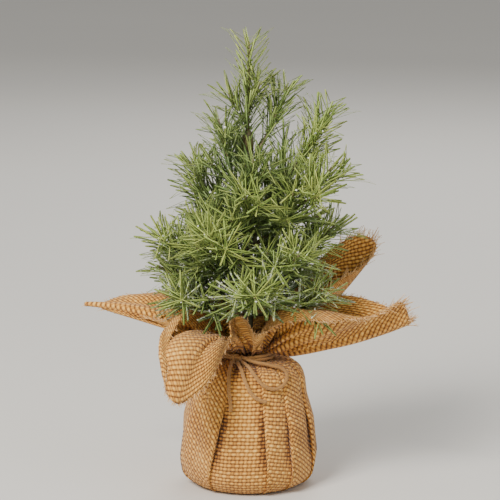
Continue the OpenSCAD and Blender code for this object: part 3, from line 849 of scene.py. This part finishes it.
burlap = Finish("burlap", Roughness=0.88, Specular_IOR_Level=0.2, Sheen_Weight=0.15, Sheen_Roughness=0.6)
weft_pitch, warp_pitch = 0.00205, 0.0022
flat_place = burlap.node("ShaderNodeUVMap", {"uv_map": "weave"})
uneven = burlap.node("ShaderNodeTexNoise", inputs={"Vector": flat_place, "Scale": 60, "Detail": 2},
                     output="Color")
sway = burlap.node("ShaderNodeVectorMath", {"operation": "SCALE"}, {0: uneven, "Scale": 0.0011})
place = burlap.node("ShaderNodeVectorMath", {"operation": "ADD"}, {0: flat_place, 1: sway})
split = burlap.node("ShaderNodeSeparateXYZ", inputs={0: place})
across = split * (1 / warp_pitch)
upwards = Value(burlap, split.socket.node.outputs["Y"]) * (1 / weft_pitch)


def yarn(cross, seed):
    """The round top of the yarns that lie side by side along one direction, and each one's tone."""
    off = ((cross.part() - 0.5) / 0.505).size().least(1.0)
    number = cross.whole() + 17.3 * seed
    tone = burlap.node("ShaderNodeTexWhiteNoise", {"noise_dimensions": "1D"}, {"W": number})
    return (1 - off ** 2) ** 0.5, tone


warp_top, warp_tone = yarn(across, 0)
weft_top, weft_tone = yarn(upwards, 1)
lift_warp = 0.5 + 0.5 * ((upwards + across.whole()) * math.pi).sine()
lift_weft = 0.5 + 0.5 * ((across + upwards.whole() + 1) * math.pi).sine()
warp_height = 0.80 * warp_top * (0.20 + 0.80 * lift_warp)
weft_height = weft_top * (0.50 + 0.50 * lift_weft)
height = warp_height.most(weft_height)
on_top = warp_height > weft_height
along_weft = burlap.noise(1.0, 4, (260, 2600, 1), flat_place)
along_warp = burlap.noise(1.0, 4, (2600, 260, 1), flat_place)
fibre = burlap.node("ShaderNodeSeparateColor", inputs={0: burlap.blend(on_top, along_weft, along_warp)})
yarn_tone = on_top * warp_tone + (1 - on_top) * weft_tone
# Painted shade and highlight: the weave's height darkens the gaps between the yarns and lightens the yarn
# tops, over each yarn's own tone, fibre streaks and blotches
tone_and_painted_light = 0.16 * yarn_tone + 0.40 * fibre + 0.34 * burlap.noise(38, 4) + 1.05 * height - 0.66
# painted shade in the creases and in the bunches above the tie darkens the weave's colour
tone_and_painted_light = tone_and_painted_light - 0.34 * burlap.attribute("crease")
burlap.paint(Base_Color=burlap.ramp(
    tone_and_painted_light, (0.0, (0.060, 0.020, 0.004)), (0.22, (0.22, 0.078, 0.015)), (0.45, (0.50, 0.218, 0.038)),
    (0.68, (0.78, 0.395, 0.080)), (0.95, (0.96, 0.630, 0.185))))
burlap.relief(height + 0.16 * fibre, 0.0010, 0.9)
cloth_mesh.materials.append(burlap.material)
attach(cloth, "stand")
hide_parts("burlap_wrap")

# The cut edge frays: short loose yarns stand along the rim, longest at the two right corners
rim_line, below_rim = grid[-1], grid[-2]
rings, sides = 4, 4
tucked_in = 0.0012              # a loose yarn starts this far inside the edge
loose_yarns = 1500
draw = np.random.default_rng(11)
verts, faces = [], []
for _ in range(loose_yarns):
    c = draw.uniform(0, columns)
    i, n, u = int(c), (int(c) + 1) % columns, c % 1
    edge = rim_line[n] - rim_line[i]
    if np.linalg.norm(edge) < draw.uniform(0, 0.0022):
        continue
    p = (1 - u) * rim_line[i] + u * rim_line[n]
    q = (1 - u) * below_rim[i] + u * below_rim[n]
    d = (p - q) / max(np.linalg.norm(p - q), 1e-6)
    sidewise = edge / max(np.linalg.norm(edge), 1e-6)
    at_corner = p[0] > 0.076 or (p[0] > 0.05 and p[2] > 0.108)
    long = (0.0065 if at_corner else 0.0024) * draw.uniform(0.25, 1.0)
    way = d + draw.normal(0, 0.35) * sidewise + draw.normal(0, 0.25, 3)
    way /= np.linalg.norm(way)
    bend = draw.normal(0, 0.45, 3)
    one = np.cross(way, (0.3, 0.5, 0.8))
    one /= np.linalg.norm(one)
    two = np.cross(way, one)
    first = len(verts)
    thick = draw.uniform(0.00013, 0.00030)
    for k in range(rings):
        t = k / (rings - 1)
        middle = p - tucked_in * d + (long + tucked_in) * (t * way + 0.4 * t * t * bend)
        for side in range(sides):
            a = side * math.pi / 2
            verts.append(middle + thick * (1 - 0.45 * t) * (math.cos(a) * one + math.sin(a) * two))
    for k in range(rings - 1):
        for side in range(sides):
            here, m = first + sides * k, (side + 1) % sides
            faces.append((here + side, here + m, here + sides + m, here + sides + side))
    last = first + sides * (rings - 1)
    faces.append(tuple(first + side for side in reversed(range(sides))))
    faces.append(tuple(last + side for side in range(sides)))
fray_mesh = bpy.data.meshes.new("burlap_fray")
fray_mesh.from_pydata([tuple(v) for v in verts], [], faces)
fray = bpy.data.objects.new("burlap_fray", fray_mesh)
bpy.context.collection.objects.link(fray)
loose = Finish("loose_yarn", Roughness=0.9, Sheen_Weight=0.2)
loose.paint(Base_Color=loose.ramp(loose.noise(900, 3), (0.3, (0.42, 0.20, 0.06)), (0.7, (0.86, 0.58, 0.27))))
fray_mesh.materials.append(loose.material)
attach(fray, "stand")

# ---- The tie: two turns of twine and a knot -----------------------------------
# The twine is wound twice round the gathered neck and knotted in front, a little to
# the left. The bow's loop and its two tails leave from the knot.

turn_r = float(band_high.x) - twine_d / 2
start = math.atan2(knot.y, knot.x)
turns, points_per_turn = 2, 60
wound = []
for k in range(turns * points_per_turn + 1):
    turn = k / points_per_turn
    step_up = unit((turn - 0.8) / 0.4)      # the second turn lies on the first
    z = neck_low + twine_d / 2 + (neck_high - neck_low - twine_d) * step_up
    a = start + 2 * math.pi * turn
    wound.append((turn_r * math.cos(a), turn_r * math.sin(a), z))
band, _, _ = twisted_cord("twine_turns", wound, twine_d)
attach(band, "stand")
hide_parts("twine_band")

across_knot = Vector((-knot.y, knot.x, 0)).normalized()
out_knot = Vector((knot.x, knot.y, 0)).normalized()
knot_size, knot_twine_d = 0.00072, 0.0019       # the twine is pulled a little thinner in the knot
overhand = []
for k in range(49):
    t = 2 * math.pi * k / 48
    r = 2 + math.cos(3 * t)
    x, y, z = r * math.cos(2 * t), r * math.sin(2 * t), math.sin(3 * t)
    overhand.append(tuple(knot + knot_size * (x * across_knot + y * Vector((0, 0, 1)) + 1.3 * z * out_knot)))
tied, _, _ = twisted_cord("twine_knot_tied", overhand, knot_twine_d)
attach(tied, "stand")
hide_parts("twine_knot")
